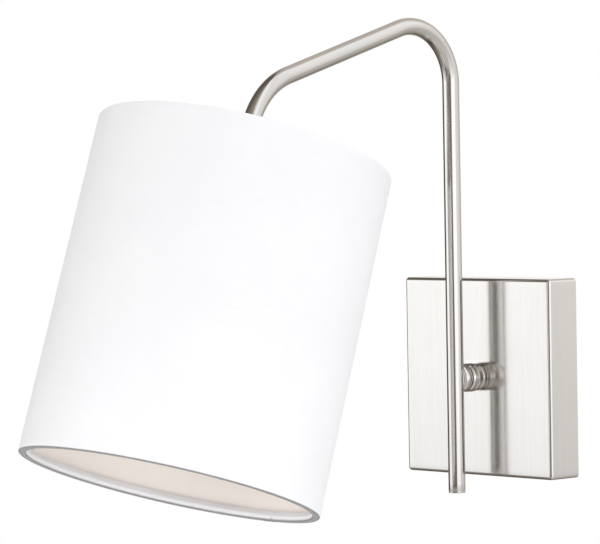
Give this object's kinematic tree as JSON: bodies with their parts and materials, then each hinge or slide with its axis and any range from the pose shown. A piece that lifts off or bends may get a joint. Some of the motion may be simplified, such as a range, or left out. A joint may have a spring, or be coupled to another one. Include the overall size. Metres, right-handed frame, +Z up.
{
  "type": "wall sconce",
  "caption": "Wall sconce with a square back plate, a swivelling bent-tube arm and a tilted white drum shade.",
  "frame": {"origin": "centre of the back plate's wall face, where the lamp hangs on the wall box", "axes": "+Y points into the wall, the lamp stands out towards -Y, +X is to the right of a person facing the wall, +Z is up"},
  "size_m": [0.172, 0.3568, 0.2909],
  "materials": {
    "brushed_nickel": "brushed nickel plate, warm grey, satin",
    "zinc_steel": "zinc-plated steel, satin",
    "brass": "plain brass",
    "black_phenolic": "moulded black phenolic, satin",
    "white_nylon": "moulded nylon",
    "shade_fabric": "fine white linen weave on the outside of the shade",
    "shade_liner": "off-white styrene sheet, matte",
    "frosted_glass": "frosted white glass",
    "green_paint": "green coating",
    "black_insulation": "black wire insulation",
    "white_insulation": "white wire insulation"
  },
  "bodies": {
    "wall_plate": {"back_plate": "brushed_nickel", "mounting_bar": "zinc_steel", "hook_clip": "zinc_steel", "plate_screw": "brushed_nickel", "box_screw_upper": "zinc_steel", "box_screw_lower": "zinc_steel", "ground_screw": "green_paint", "ground_lead": "green_paint", "swivel_base": "brushed_nickel", "stop_pin": "zinc_steel"},
    "lock_ring": {"lock_ring": "brushed_nickel"},
    "arm": {"swivel_head": "brushed_nickel", "nipple": "zinc_steel", "stop_washer": "zinc_steel", "spring_washer": "zinc_steel", "nipple_nut": "brass", "arm_tube": "brushed_nickel", "tube_end_plug": "brushed_nickel", "tube_bushing": "white_nylon", "tube_nut": "brass", "holder_cap": "black_phenolic", "holder_body": "black_phenolic", "terminal_screw_line": "brass", "terminal_screw_neutral": "zinc_steel", "screw_shell": "brass", "centre_contact": "brass", "lead_line": "black_insulation", "lead_neutral": "white_insulation"},
    "shade": {"fitter_washer": "zinc_steel", "spoke_1": "zinc_steel", "spoke_2": "zinc_steel", "spoke_3": "zinc_steel", "upper_ring": "zinc_steel", "lower_ring": "zinc_steel", "shade_liner": "shade_liner", "shade_fabric": "shade_fabric"},
    "shade_ring": {"shade_ring": "black_phenolic"},
    "bulb": {"bulb_glass": "frosted_glass", "bulb_cap": "brushed_nickel", "bulb_insulator": "black_phenolic", "bulb_contact": "brass"}
  },
  "joints": [
    {"name": "arm_swivel", "type": "hinge", "parent": "wall_plate", "child": "arm", "pos_m": [0, -0.024, 0], "axis": [0, -1, 0], "range_deg": [-90, 90]},
    {"name": "lock_ring_turn", "type": "hinge", "parent": "wall_plate", "child": "lock_ring", "pos_m": [0, -0.0309, 0], "axis": [0, -1, 0], "range_deg": [0, 120]},
    {"name": "shade_turn", "type": "hinge", "parent": "arm", "child": "shade", "pos_m": [0, -0.2126, 0.1409], "axis": [0, 0.3173, 0.9483], "continuous": true},
    {"name": "shade_ring_turn", "type": "hinge", "parent": "arm", "child": "shade_ring", "pos_m": [0, -0.2126, 0.1409], "axis": [0, 0.3173, 0.9483], "range_deg": [-720, 0]},
    {"name": "bulb_turn", "type": "hinge", "parent": "arm", "child": "bulb", "pos_m": [0, -0.2126, 0.1409], "axis": [0, 0.3173, 0.9483], "range_deg": [-1440, 0]}
  ]
}
